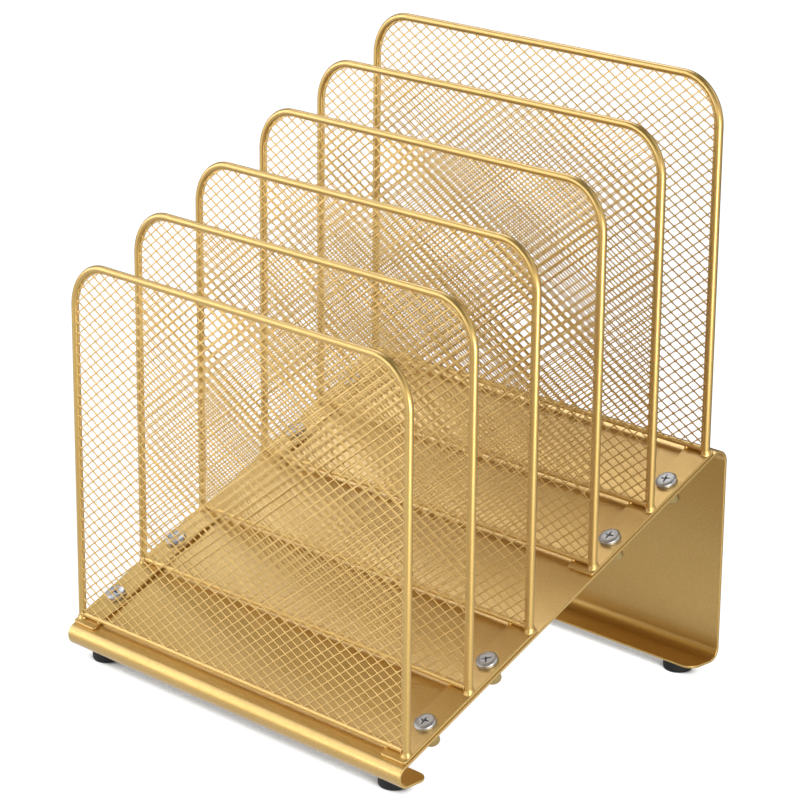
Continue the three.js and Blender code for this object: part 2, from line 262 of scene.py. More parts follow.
def with_surface(material, shader):
    """The material, with this shader as its surface."""
    add_node(material.node_tree, "ShaderNodeOutputMaterial", links={"Surface": shader.outputs[0]})
    return material


def grains_per_metre(size_mm):
    """Scale of a noise whose grains have this size: one over the size in metres."""
    return 1 / (size_mm * MM)


def mottled(tree, colours, size_mm, detail=2.0):
    """Cloudy spots of a size, and the mix of two colours that they make."""
    place = add_node(tree, "ShaderNodeTexCoord").outputs["Object"]
    spots = add_node(
        tree, "ShaderNodeTexNoise", {"Scale": grains_per_metre(size_mm), "Detail": detail},
        {"Vector": place})
    mix = add_node(
        tree, "ShaderNodeMix", {"data_type": "RGBA", 6: linear(colours[0]), 7: linear(colours[1])},
        {0: spots.outputs["Fac"]})
    return spots.outputs["Fac"], mix.outputs[2]


print("middle grey in linear light:", round(linear("#808080")[0], 3))

# %% [markdown]
# ## Gold powder coat
# The real coat is polyester powder with bronze and mica flakes, sprayed on and baked, satin and
# slightly uneven like the skin of an orange. It is metallic in depth, with a clear resin skin
# that adds a soft pale sheen. A bare metal would look like polished brass and a plain paint
# like mustard, so the shader is nearly all metal under a clear coat. Waves of about 2.5 mm make
# the uneven skin, and a grain of 0.45 mm stands for the flakes, which are too fine to show.

# %% Gold powder coat
GOLD, DEEP_GOLD, FLAKE_GOLD = "#d9b465", "#cda758", "#eed6a0"
PEEL_SIZE, FLAKE_SIZE, CLOUD_SIZE = 2.5, 0.45, 60.0
PEEL_HEIGHT, FLAKE_HEIGHT = 0.02, 0.01
SMOOTHEST_GOLD, ROUGHEST_GOLD = 0.35, 0.45


def make_gold_coat():
    """Broad clouds mix the two golds, and the peaks of the finest noise lighten the flakes. The
    waves of the skin shift the roughness and, with the flakes, lift the surface a little."""
    material, tree = new_material("gold_powder_coat")
    place = add_node(tree, "ShaderNodeTexCoord").outputs["Object"]
    _, base = mottled(tree, (GOLD, DEEP_GOLD), CLOUD_SIZE)
    flakes = add_node(
        tree, "ShaderNodeTexNoise", {"Scale": grains_per_metre(FLAKE_SIZE), "Detail": 1.0},
        {"Vector": place})
    peel = add_node(
        tree, "ShaderNodeTexNoise", {"Scale": grains_per_metre(PEEL_SIZE), "Detail": 2.0},
        {"Vector": place})
    bright = add_node(
        tree, "ShaderNodeMapRange", {"From Min": 0.55, "From Max": 0.75, "To Max": 0.5},
        {"Value": flakes.outputs["Fac"]})
    colour = add_node(
        tree, "ShaderNodeMix", {"data_type": "RGBA", 7: linear(FLAKE_GOLD)},
        {0: bright.outputs["Result"], 6: base})
    rough = add_node(
        tree, "ShaderNodeMapRange",
        {"From Min": 0.3, "From Max": 0.7, "To Min": SMOOTHEST_GOLD, "To Max": ROUGHEST_GOLD},
        {"Value": peel.outputs["Fac"]})
    waves = add_node(
        tree, "ShaderNodeBump", {"Strength": 0.5, "Distance": PEEL_HEIGHT * MM},
        {"Height": peel.outputs["Fac"]})
    grain = add_node(
        tree, "ShaderNodeBump", {"Strength": 0.5, "Distance": FLAKE_HEIGHT * MM},
        {"Height": flakes.outputs["Fac"], "Normal": waves.outputs["Normal"]})
    shader = add_node(
        tree, "ShaderNodeBsdfPrincipled",
        {"Metallic": 0.94, "Coat Weight": 0.9, "Coat Roughness": 0.2},
        {"Base Color": colour.outputs[2], "Roughness": rough.outputs["Result"],
         "Normal": grain.outputs["Normal"]})
    return with_surface(material, shader)


gold_coat = make_gold_coat()
COATED = "coated", gold_coat, "gold_powder_coat"
print("made", gold_coat.name)

# %% [markdown]
# ## Zinc, yellow zinc and rubber
# The screws are steel with a bright zinc plate: a cool grey metal with faint cloudy spots. The
# nuts have a yellow passivated zinc, whose film shifts between two straws. The feet are moulded
# black rubber, matt, with a fine grain from the mould. Pictures could be laid on, but spots
# worked out at their real size stay sharp from near and far.

# %% Zinc plate
ZINC, PALE_ZINC = "#b4b8be", "#cfd2d6"
SPOT_SIZE, SPOT_HEIGHT = 1.6, 0.02
SMOOTHEST_ZINC, ROUGHEST_ZINC = 0.32, 0.46


def make_zinc_plate():
    """The same spots mix two greys, shift the roughness and lift the surface a little."""
    material, tree = new_material("zinc_plate")
    spots, colour = mottled(tree, (ZINC, PALE_ZINC), SPOT_SIZE, 3.0)
    rough = add_node(
        tree, "ShaderNodeMapRange", {"To Min": SMOOTHEST_ZINC, "To Max": ROUGHEST_ZINC},
        {"Value": spots})
    bump = add_node(
        tree, "ShaderNodeBump", {"Strength": 0.4, "Distance": SPOT_HEIGHT * MM}, {"Height": spots})
    shader = add_node(
        tree, "ShaderNodeBsdfPrincipled", {"Metallic": 1.0},
        {"Base Color": colour, "Roughness": rough.outputs["Result"], "Normal": bump.outputs["Normal"]})
    return with_surface(material, shader)


zinc_plate = make_zinc_plate()
print("made", zinc_plate.name)

# %% Yellow zinc
STRAW, PALE_STRAW = "#a8905a", "#cdb57a"
FILM_SIZE = 3.0


def make_yellow_zinc():
    """The film's spots mix two straws over an even metal."""
    material, tree = new_material("yellow_zinc")
    _, colour = mottled(tree, (STRAW, PALE_STRAW), FILM_SIZE)
    shader = add_node(
        tree, "ShaderNodeBsdfPrincipled", {"Metallic": 0.9, "Roughness": 0.36}, {"Base Color": colour})
    return with_surface(material, shader)


yellow_zinc = make_yellow_zinc()
print("made", yellow_zinc.name)

# %% Black rubber
RUBBER, RUBBED_RUBBER = "#121214", "#1d1d20"
MOULD_GRAIN_SIZE, MOULD_GRAIN_HEIGHT = 0.5, 0.05


def make_black_rubber():
    """The mould's grain mixes two blacks and lifts the surface."""
    material, tree = new_material("black_rubber")
    grain, colour = mottled(tree, (RUBBER, RUBBED_RUBBER), MOULD_GRAIN_SIZE)
    bump = add_node(
        tree, "ShaderNodeBump", {"Strength": 0.5, "Distance": MOULD_GRAIN_HEIGHT * MM},
        {"Height": grain})
    shader = add_node(
        tree, "ShaderNodeBsdfPrincipled", {"Roughness": 0.7},
        {"Base Color": colour, "Normal": bump.outputs["Normal"]})
    return with_surface(material, shader)


black_rubber = make_black_rubber()
print("made", black_rubber.name)

# %% [markdown]
# ## Base sheet
# The base is one piece of 1.5 mm steel with its edges tumbled round, bent four times: a nose
# rolled under at the front, a bend at the top of the deck, and a heel. It is drawn flat, as a
# rounded rectangle, and its length is then walked along a line that turns steadily at each
# bend. The Bevel modifier could round a folded box instead, but this way every bend is a true
# arc, and the corners of both flanges keep their radius.

# %% Walk along the bent profile
def stretches():
    """Lengths of the profile's stretches along the middle of the sheet, and how far each one
    turns: flange, nose, deck, top bend, leg, heel and rear flange. A bend's length is its angle
    times the radius of the sheet's middle."""
    half = SHEET_THICKNESS / 2
    heel_centre = np.array([BASE_DEPTH / 2 - HEEL_RADIUS, FOOT_HEIGHT + HEEL_RADIUS])
    deck_level = NOSE_RADIUS - SIN * NOSE_CENTRE[0] + COS * NOSE_CENTRE[1]
    top_y = BASE_DEPTH / 2 - TOP_RADIUS
    top_centre = np.array([top_y, (deck_level - TOP_RADIUS + SIN * top_y) / COS])
    turns = np.array([0, -(math.pi - DECK_ANGLE), 0, -(DECK_ANGLE + math.pi / 2), 0, -math.pi / 2, 0])
    lengths = np.array([
        FRONT_FLANGE - NOSE_RADIUS,
        -turns[1] * (NOSE_RADIUS - half),
        (top_centre - NOSE_CENTRE) @ np.array([COS, SIN]),
        -turns[3] * (TOP_RADIUS - half),
        top_centre[1] - heel_centre[1],
        -turns[5] * (HEEL_RADIUS - half),
        REAR_FLANGE - HEEL_RADIUS,
    ])
    return lengths, turns


STRETCH_LENGTHS, STRETCH_TURNS = stretches()
STRETCH_STARTS = np.concatenate([[0], np.cumsum(STRETCH_LENGTHS)[:-1]])
SHEET_LENGTH = STRETCH_LENGTHS.sum()


def chord(distance, heading, bend):
    """Straight line to the point that lies a distance along a stretch that turns steadily. It
    points halfway between the old heading and the new one, and its length is the distance times
    the sine of half the turn over half the turn."""
    half_turn = distance * bend / 2
    length = distance * np.sinc(half_turn / math.pi)
    return length * np.cos(heading + half_turn), length * np.sin(heading + half_turn)


def profile_point(u):
    """Y, Z and heading of the sheet's middle at a distance u along it."""
    bends = STRETCH_TURNS / STRETCH_LENGTHS
    headings = math.pi + np.concatenate([[0], np.cumsum(STRETCH_TURNS)[:-1]])
    steps = np.stack(chord(STRETCH_LENGTHS, headings, bends))
    start = np.array([[FRONT_FLANGE - BASE_DEPTH / 2], [FOOT_HEIGHT + SHEET_THICKNESS / 2]])
    corners = start + np.concatenate([np.zeros((2, 1)), np.cumsum(steps, 1)[:, :-1]], 1)
    part = np.clip(np.searchsorted(STRETCH_STARTS, u, side="right") - 1, 0, len(bends) - 1)
    rest = u - STRETCH_STARTS[part]
    dy, dz = chord(rest, headings[part], bends[part])
    return corners[0, part] + dy, corners[1, part] + dz, headings[part] + rest * bends[part]


print("the sheet is", round(float(SHEET_LENGTH), 1), "mm long before it is bent")

# %% [markdown]
# A plate with round edges is a closed outline, carried round the edge on a small arc. Every
# ring is the outline drawn in by the arc's inset, at the arc's height. The normals come from
# the same arc, so the wide flat faces stay perfectly flat in the shading.

# %% Plate with rounded corners and edges
CORNER_POINTS, EDGE_POINTS = 9, 5
PAST_CORNER = 1.0


def outline_half(length, half_width, corner, stations):
    """Right half of a rounded rectangle and its outward normals: a quarter turn, stations along
    the straight side and a quarter turn, as rows of distance along and across. Each point lies
    the corner's radius along its normal from a line drawn in by that radius."""
    turn = np.linspace(0, math.pi / 2, CORNER_POINTS)
    ends = np.full_like(turn, corner)
    normal = np.stack([
        np.concatenate([-np.cos(turn), 0 * stations, np.sin(turn)]),
        np.concatenate([np.sin(turn), np.ones_like(stations), np.cos(turn)]),
    ])
    along = np.concatenate([ends, stations, length - ends])
    line = np.stack([along, np.full_like(along, half_width - corner)])
    return line + corner * normal, normal


def plate(outline, normal, thickness, edge_radius, carry):
    """Closed plate over a mirrored outline. The edge's arc has a tilt from upright to hanging;
    its inset is the radius times (1 - cosine), its height the radius times the sine, about the
    two lines where the edge starts to turn. The two broad faces are ladders across the plate."""
    quarter = np.linspace(90, 0, EDGE_POINTS)
    tilt = np.radians(np.concatenate([quarter, -quarter[::-1]]))[:, None]
    side = np.repeat([1, -1], len(quarter))[:, None]
    height = edge_radius * np.sin(tilt) + side * (thickness / 2 - edge_radius)
    inset = edge_radius * (1 - np.cos(tilt))
    mirrored = outline[:, ::-1] * [[1], [-1]]
    mirrored_normal = normal[:, ::-1] * [[1], [-1]]
    line = np.concatenate([outline, mirrored], 1)
    across = np.concatenate([normal, mirrored_normal], 1)
    points, normals = carry(line[0] - inset * across[0], line[1] - inset * across[1], height,
                            np.cos(tilt) * across[0], np.cos(tilt) * across[1], np.sin(tilt))
    count, rings = line.shape[1], len(tilt)
    step = np.arange(outline.shape[1] - 1)
    ladder = np.stack([step, step + 1, count - 2 - step, count - 1 - step], -1)
    blocks = [ring_quads(rings, count), ladder[:, ::-1], ladder + (rings - 1) * count]
    points = points.reshape(-1, 3)
    return (points, turned_outwards(points, blocks)), normals.reshape(-1, 3)


def laid_normals(normal_u, normal_v, normal_height, heading):
    """Normals of a flat plate laid along a heading: turned by it about X."""
    return np.stack([
        normal_v,
        normal_u * np.cos(heading) - normal_height * np.sin(heading),
        normal_u * np.sin(heading) + normal_height * np.cos(heading),
    ], -1)


print("rings round a plate's edge:", 2 * EDGE_POINTS)


# %% Base sheet
SHEET_EDGE = 0.45
BEND_STEP = math.radians(5)


def sheet_carry(u, v, height, normal_u, normal_v, normal_height):
    """A flat place (u along, v across, height) carried onto the bent profile: the profile's
    point moved out along its own normal, which is the heading turned left."""
    y, z, heading = profile_point(u)
    points = np.stack([v, y - height * np.sin(heading), z + height * np.cos(heading)], -1)
    return points, laid_normals(normal_u, normal_v, normal_height, heading)


def bend_stations():
    """Stations at both ends of each stretch, and every few degrees on the bends."""
    corner_end = FLANGE_CORNER + PAST_CORNER
    found = [corner_end, SHEET_LENGTH - corner_end]
    for start, length, turn_angle in zip(STRETCH_STARTS, STRETCH_LENGTHS, STRETCH_TURNS):
        if turn_angle:
            found += list(np.linspace(start, start + length, int(-turn_angle / BEND_STEP) + 1))
    return np.array(sorted(found))


outline, normal = outline_half(SHEET_LENGTH, BASE_WIDTH / 2, FLANGE_CORNER, bend_stations())
sheet_shell, sheet_normals = plate(outline, normal, SHEET_THICKNESS, SHEET_EDGE, sheet_carry)
base_sheet = make_piece("base_sheet", sheet_shell, *COATED, sheet_normals)
print("base sheet:", len(base_sheet.data.polygons), "faces")

# %% [markdown]
# ## Side strips
# A flat bar lies at each side under each unit of three dividers. Its corners and edges are
# eased like the sheet's, so the same plate serves again. The coat closes most of the joint,
# and a fine dark line is all that shows between the bar and the deck.

# %% Side strips
STRIP_EDGE = 0.5
STRIP_SEAT = 0.02
STRIP_LENGTH = UNIT_LENGTH + 2 * STRIP_BEYOND_DIVIDER


def make_strip(node, centre_x, start):
    """A plate laid on the deck, with its thickness from the seat up to the strips' top."""
    thickness = STRIP_TOP - STRIP_SEAT

    def carry(u, v, height, normal_u, normal_v, normal_height):
        """A flat place (u along, v across, height) laid on the slope."""
        points = on_deck(centre_x + v, start + u, STRIP_SEAT + thickness / 2 + height)
        return points, laid_normals(normal_u, normal_v, normal_height, DECK_ANGLE)

    corner_end = STRIP_CORNER + PAST_CORNER
    stations = np.array([corner_end, STRIP_LENGTH - corner_end])
    outline, normal = outline_half(STRIP_LENGTH, STRIP_WIDTH / 2, STRIP_CORNER, stations)
    shell, normals = plate(outline, normal, thickness, STRIP_EDGE, carry)
    return make_piece(node, shell, *COATED, normals)


for end, start in zip(("front", "rear"), UNIT_STARTS):
    for side_name, side in SIDES.items():
        node = f"side_strip_{end}_{side_name}"
        make_strip(node, side * STRIP_CENTRE_X, start - STRIP_BEYOND_DIVIDER)
print("side strips:", STRIP_LENGTH, "mm long")

# %% [markdown]
# ## Divider frames
# Each frame is one 4 mm rod bent into an upside-down U, with a weld bead at each foot. A curve
# with a round bevel could draw the rod, but its ends would be cut square. Here it is a circle
# carried along the U, and near its feet the rings are sheared, so that the last one lies flat
# on the sloping strip, and they swell into the bead under the coat.

# %% Path of a frame
ROD_SIDES = 24
STRAIGHT_AGAIN = 16.0
FOOT_STEPS = np.array([0, 0.35, 0.8, 1.3, 1.8, 2.2, 2.6, 3.2, 4.5, 7, 11, STRAIGHT_AGAIN])
FRAME_CORNER_POINTS = 19


def frame_path(foot_rise):
    """The frame's line as X, Z, outward normal and height above the foot: up the left side and
    round a quarter circle, then the same mirrored."""
    half, corner, rise = FRAME_HALF_WIDTH, FRAME_CORNER, FRAME_RISE
    climb = foot_rise + FOOT_STEPS
    sweep = np.linspace(math.pi, math.pi / 2, FRAME_CORNER_POINTS)
    angles = np.concatenate([np.full(len(climb), math.pi), sweep])
    x = np.concatenate([np.full(len(climb), -half), corner - half + corner * np.cos(sweep)])
    z = np.concatenate([climb, rise - corner + corner * np.sin(sweep)])
    angles = np.concatenate([angles, math.pi - angles[::-1]])
    x = np.concatenate([x, -x[::-1]])
    z = np.concatenate([z, z[::-1]])
    return x, z, np.stack([np.cos(angles), np.sin(angles)], -1), z - foot_rise


print("rings along a frame:", len(frame_path(0)[0]))


# %% Weld beads
BEAD_RADIUS, BEAD_HEIGHT = 2.65, 2.1
THREE_LUMPS, FIVE_LUMPS = 0.05, 0.03
JOINT_SHARPNESS = 6


def bead_radius(distance, length, radius):
    """Radius of a bead at a distance from its middle: a quarter of an ellipse."""
    return radius * np.sqrt(np.clip(1 - (distance / length) ** 2, 0, 1))


def swollen(rod, bead):
    """Radius of a rod in a bead: both radii to a high power, added, and the root of the sum. It
    stays close to the larger one and rounds the corner between them."""
    return (rod ** JOINT_SHARPNESS + bead ** JOINT_SHARPNESS) ** (1 / JOINT_SHARPNESS)


print("radius in a bead:", round(float(swollen(ROD_RADIUS, BEAD_RADIUS)), 2), "mm")


# %% Frame with its weld beads
def make_frame(number):
    """Circle carried along the frame's path, swollen by a bead at each foot, which waves of
    three and five lumps make uneven. Its rings are sheared by the deck's slope, all at the foot
    and none where the rod is straight again."""
    y_foot, z_foot = divider_foot(number)
    x, z, outward, height = frame_path(STRIP_TOP / COS)
    around = once_around(ROD_SIDES)
    bead = bead_radius(height, BEAD_HEIGHT, BEAD_RADIUS)
    lumps = 1 + THREE_LUMPS * np.cos(3 * around + number) + FIVE_LUMPS * np.cos(5 * around + 2 * number)
    radius = swollen(ROD_RADIUS, bead[:, None] * lumps)
    fade = np.clip(1 - height / STRAIGHT_AGAIN, 0, 1)
    shear = fade * fade * (3 - 2 * fade)
    depth = radius * np.sin(around)
    out = radius * np.cos(around)
    rings = np.stack([
        x[:, None] + out * outward[:, :1],
        y_foot + depth,
        z_foot + z[:, None] + out * outward[:, 1:] + shear[:, None] * depth * TAN,
    ], -1)
    return make_piece(f"divider_{number}_frame", tube_shell(rings), *COATED)


for number in DIVIDERS:
    make_frame(number)
print("frames: rod of", 2 * ROD_RADIUS, "mm, corners of", FRAME_CORNER, "mm")

# %% [markdown]
# ## Bottom wires
# A straight wire joins the two uprights just above the strips. It is welded to them with a
# small bead at each end, and tacked to each strip at the strip's inner edge. A cylinder would
# do for the wire, but a tube of rings that ends inside the rods holds the beads as well.

# %% Bottom wires
WIRE_SIDES = 16
WIRE_END_STEPS = np.array([0, 0.6, 0.9, 1.2, 1.5, 1.8, 2.1, 3.0])
WIRE_REACH = FRAME_HALF_WIDTH - 0.7 * ROD_RADIUS
WIRE_BEAD_RADIUS, WIRE_BEAD_LENGTH = 2.2, 2.0
TACK_SIZE = np.array([1.1, 1.0, 1.4])
TACK_INSET = 0.6
POLE_ANGLE = 0.08


def ellipsoid(centre, size, rings=9, sides=12):
    """Closed ellipsoid: circles whose radius is the sine and whose height is the cosine of the
    angle from its top, scaled in X, Y and Z."""
    polar = np.linspace(POLE_ANGLE, math.pi - POLE_ANGLE, rings)[:, None]
    around = once_around(sides)
    ball = np.stack(np.broadcast_arrays(
        np.sin(polar) * np.cos(around), np.sin(polar) * np.sin(around), np.cos(polar)), -1)
    return tube_shell(centre + ball * size)


def make_bottom_wire(number):
    """Circle carried along X, swollen by a bead before each upright, and a tack below it at the
    inner edge of each strip."""
    y_foot, z_foot = divider_foot(number)
    x = np.concatenate([WIRE_END_STEPS - WIRE_REACH, (WIRE_REACH - WIRE_END_STEPS)[::-1]])
    bead = bead_radius(np.abs(np.abs(x) - WIRE_REACH), WIRE_BEAD_LENGTH, WIRE_BEAD_RADIUS)
    radius = swollen(WIRE_RADIUS, bead)
    around = once_around(WIRE_SIDES)
    rings = np.stack(np.broadcast_arrays(
        x[:, None],
        y_foot + radius[:, None] * np.cos(around),
        z_foot + WIRE_RISE + radius[:, None] * np.sin(around)), -1)
    tack_x = STRIP_CENTRE_X - STRIP_WIDTH / 2 + TACK_INSET
    tack_z = z_foot + (STRIP_TOP / COS + WIRE_RISE - WIRE_RADIUS) / 2
    places = [np.array([side * tack_x, y_foot, tack_z]) for side in SIDES.values()]
    shell = joined([tube_shell(rings)] + [ellipsoid(place, TACK_SIZE) for place in places])
    return make_piece(f"divider_{number}_bottom_wire", shell, *COATED)


for number in DIVIDERS:
    make_bottom_wire(number)
print("bottom wires:", round(2 * (FRAME_HALF_WIDTH - ROD_RADIUS), 1), "mm between the uprights")

# %% [markdown]
# ## Diamond net
# The net is expanded metal: a sheet that was slit and pulled open, so its strands run in two
# slanting families that meet in slightly thicker knots. It was cut from a roll a little askew,
# so the rows of diamonds climb to the right. The Wireframe modifier could draw diamonds from a
# grid, but not flat strands that tilt. So each strand is a slim flat bar here, which starts and
# ends inside the rods, and a flat selvage runs down both sides between net and rod.

# %% Lattice and window of the net
ROW_STEPS = [np.array([8.8, 0.95]), np.array([8.65, 0.68])]
COLUMN_STEP = np.array([0.0, 5.75])
INTO_ROD, INTO_WIRE = 0.85 * ROD_RADIUS, 0.6 * WIRE_RADIUS
WINDOW_CORNER_PLANES = 13


def window_planes():
    """The net's window as half-planes: outward normal and distance of both sides, the top, the
    bottom and the tangents of both round corners."""
    inner = FRAME_CORNER - INTO_ROD
    centre_x, centre_z = FRAME_HALF_WIDTH - FRAME_CORNER, FRAME_RISE - FRAME_CORNER
    angles = np.linspace(0, math.pi / 2, WINDOW_CORNER_PLANES)
    right_side = np.stack([np.cos(angles), np.sin(angles)], -1)
    left_side = right_side * [-1, 1]
    reach = centre_x * np.cos(angles) + centre_z * np.sin(angles) + inner
    normals = np.concatenate([right_side, left_side, [[0, -1]]])
    return normals, np.concatenate([reach, reach, [-(WIRE_RISE + INTO_WIRE)]])


def clipped(starts, direction):
    """Where lines enter and leave the window: for each half-plane the line's crossing, and of
    all crossings the last way in and the first way out."""
    normals, reaches = window_planes()
    speed = normals @ direction
    crossing = (reaches[:, None] - normals @ starts.T) / speed[:, None]
    enter = np.where(speed[:, None] < 0, crossing, -np.inf).max(0)
    leave = np.where(speed[:, None] > 0, crossing, np.inf).min(0)
    return enter, leave


print("half-planes around the window:", len(window_planes()[0]))


# %% One family of strands
NET_FRONT = -0.85
STRAND_DEPTH = 0.22
STRAND_TILT = math.radians(16)
STRAND_SWAY = 0.05
KNOT_REACH = 0.22
FALLING_WIDTHS = (0.33, 0.54)
RISING_WIDTHS = (0.31, 0.50)
STRAND_CORNERS = np.radians([25, 65, 115, 155, 205, 245, 295, 335])
STRAND_SQUARENESS = 0.4
STRANDS_EACH_WAY = 80
SHORTEST_STRAND, CLEAR_OF_END = 0.3, 0.05


def bar_section(corners, squareness):
    """Corners of a flat bar's section: cosine and sine of each, drawn towards one by a power."""
    return [np.sign(w) * np.abs(w) ** squareness for w in (np.cos(corners), np.sin(corners))]


def strands(row_step, phase, rising, widths, seed):
    """Flat bars through the lattice's knots, which lie at whole numbers along each bar. A bar's
    half width is the larger one at a knot and the smaller one between knots, and the bar is
    tilted about its own line, so that its face looks a little upwards."""
    rng = np.random.default_rng(seed)
    direction = (row_step + COLUMN_STEP if rising else row_step - COLUMN_STEP) / 2
    length = np.hypot(*direction)
    lateral = np.array([-direction[1], direction[0]]) / length
    count = np.arange(-STRANDS_EACH_WAY, STRANDS_EACH_WAY + 1)
    middle = np.array([0, FRAME_RISE / 2]) + phase * row_step
    across = (row_step - COLUMN_STEP if rising else row_step + COLUMN_STEP) / 2
    starts = middle + count[:, None] * across
    enter, leave = clipped(starts, direction)
    u, v = bar_section(STRAND_CORNERS, STRAND_SQUARENESS)
    shells = []
    for start, first, last in zip(starts, enter, leave):
        if last - first < SHORTEST_STRAND:
            continue
        knots = np.arange(math.ceil(first), math.floor(last) + 1)
        places = np.concatenate([knots - KNOT_REACH, knots, knots + KNOT_REACH])
        at_knot = np.repeat([0.0, 1.0, 0.0], len(knots))
        inside = (places > first + CLEAR_OF_END) & (places < last - CLEAR_OF_END)
        order = np.argsort(places[inside])
        places = np.concatenate([[first], places[inside][order], [last]])
        at_knot = np.concatenate([[0], at_knot[inside][order], [0]])
        half = widths[0] + (widths[1] - widths[0]) * at_knot
        sway = rng.normal(0, STRAND_SWAY, len(places))
        centre = start + places[:, None] * direction + sway[:, None] * lateral
        sideways = half[:, None] * u * math.cos(STRAND_TILT) - STRAND_DEPTH * v * math.sin(STRAND_TILT)
        depth = half[:, None] * u * math.sin(STRAND_TILT) + STRAND_DEPTH * v * math.cos(STRAND_TILT)
        flat = centre[:, None, :] + sideways[..., None] * lateral
        shells.append(tube_shell(np.stack([flat[..., 0], NET_FRONT + depth, flat[..., 1]], -1)))
    return joined(shells)


print("strands' half widths:", FALLING_WIDTHS, RISING_WIDTHS, "mm")


# %% Selvage and the finished nets
SELVAGE_WIDTH, SELVAGE_TOP_WIDTH, SELVAGE_HALF_THICKNESS = 1.4, 0.4, 0.3
SELVAGE_FRONT = -0.4
SELVAGE_START = 0.92 * ROD_RADIUS
SELVAGE_CORNERS = np.radians([20, 70, 110, 160, 200, 250, 290, 340])
SELVAGE_SQUARENESS, SELVAGE_NARROWING = 0.35, 0.7
PHASE_STEP = 0.37


def selvage():
    """Rounded bar carried along the inside of the frame: as wide as the selvage at the sides,
    narrowing round the corners to a thin line under the top rod."""
    x, z, outward, _ = frame_path(WIRE_RISE)
    upright = np.abs(outward[:, 0])
    width = SELVAGE_TOP_WIDTH + (SELVAGE_WIDTH - SELVAGE_TOP_WIDTH) * upright ** SELVAGE_NARROWING
    u, v = bar_section(SELVAGE_CORNERS, SELVAGE_SQUARENESS)
    reach = -(SELVAGE_START + width[:, None] / 2) + width[:, None] / 2 * u
    rings = np.stack([
        x[:, None] + reach * outward[:, :1],
        np.broadcast_to(SELVAGE_FRONT + SELVAGE_HALF_THICKNESS * v, reach.shape),
        z[:, None] + reach * outward[:, 1:],
    ], -1)
    return tube_shell(rings)


def make_net(number):
    """Both families of strands and the selvage, moved to their divider. The lattice is shifted
    from one net to the next, because each net was cut from the roll at another place."""
    y_foot, z_foot = divider_foot(number)
    row_step = ROW_STEPS[(number - 1) // DIVIDERS_PER_UNIT]
    phase = (PHASE_STEP * number) % 1
    parts = [
        strands(row_step, phase, False, FALLING_WIDTHS, 10 * number),
        strands(row_step, phase, True, RISING_WIDTHS, 10 * number + 1),
        selvage(),
    ]
    points, blocks = joined(parts)
    shell = points + np.array([0, y_foot, z_foot]), blocks
    return make_piece(f"divider_{number}_mesh", shell, *COATED, sharp_angle=60)


for number in DIVIDERS:
    net = make_net(number)
print("last net:", len(net.data.polygons), "faces")

# %% [markdown]
# ## Screws
# The screws have a low pan head, zinc plated, with a cross recess. The Boolean modifier could
# cut it, but leaves long thin faces on the dome. Here a head is a stack of rings with as many
# points each: a cross at the recess, which opens out to a circle on the dome. The height of
# each point there comes from its distance to the axis, so the dome stays true.

# %% Ring of the cross recess
RECESS_HALF_SPAN, RECESS_HALF_WIDTH, RECESS_TIP_HALF_WIDTH = 2.8, 0.5, 0.35
RECESS_ROOT = 0.3


def cross_ring():
    """Outline of a cross with round inner corners, as many points in each quarter: out from the
    middle of an arm's end, back along its flank, round the inner corner on an arc, and out
    along the next arm, which mirrors the first in the diagonal."""
    tip = np.array([RECESS_HALF_SPAN, 0])
    shoulder = np.array([RECESS_HALF_SPAN, RECESS_TIP_HALF_WIDTH])
    inner = np.array([RECESS_HALF_WIDTH + RECESS_ROOT, RECESS_HALF_WIDTH])
    end = tip + np.array([[0], [0.5]]) * (shoulder - tip)
    flank = shoulder + np.linspace(0, 1, 4)[:, None] * (inner - shoulder)
    arc = np.radians([-112.5, -135.0])
    corner = RECESS_HALF_WIDTH + RECESS_ROOT + RECESS_ROOT * np.stack([np.cos(arc), np.sin(arc)], -1)
    first = np.concatenate([end, flank, corner[:1]])
    mirrored = first[::-1, ::-1]
    quarter = np.concatenate([first, corner[1:], mirrored[:-1]])
    turns = [np.array([[c, -s], [s, c]]) for c, s in ((1, 0), (0, 1), (-1, 0), (0, -1))]
    return np.concatenate([quarter @ t.T for t in turns])


print("points in the cross:", len(cross_ring()))


# %% Rings of a screw
HEAD_RADIUS, HEAD_BASE, HEAD_TOP, HEAD_RIM = 5.7, STRIP_TOP, 4.5, 1.6
HEAD_BEVEL = 0.25
RECESS_DEPTH, RECESS_POINT_DEPTH, RECESS_LIP_DEPTH = 2.0, 0.3, 0.12
POINT_SHARE, FLOOR_SHARE, WALL_SHARE, LIP_SHARE = 0.25, 0.72, 0.97, 1.03
DOME_SHARE = 0.995
CIRCLE_MIXES = (0, 0.05, 0.15, 0.3, 0.5, 0.7, 0.85, 0.95, 1.0)
EVENNESS = 0.65
SHANK_RADIUS, SHANK_END = 2.5, -9.0


def dome_height(radius):
    """Height of the pan head at a distance from its axis: over the rim, the dome's rise times
    the root of 1 - share ** 4, where share is the distance over the head's radius."""
    share = np.clip(radius / HEAD_RADIUS, 0, 1)
    return HEAD_BASE + HEAD_RIM + (HEAD_TOP - HEAD_BASE - HEAD_RIM) * (1 - share ** 4) ** 0.5


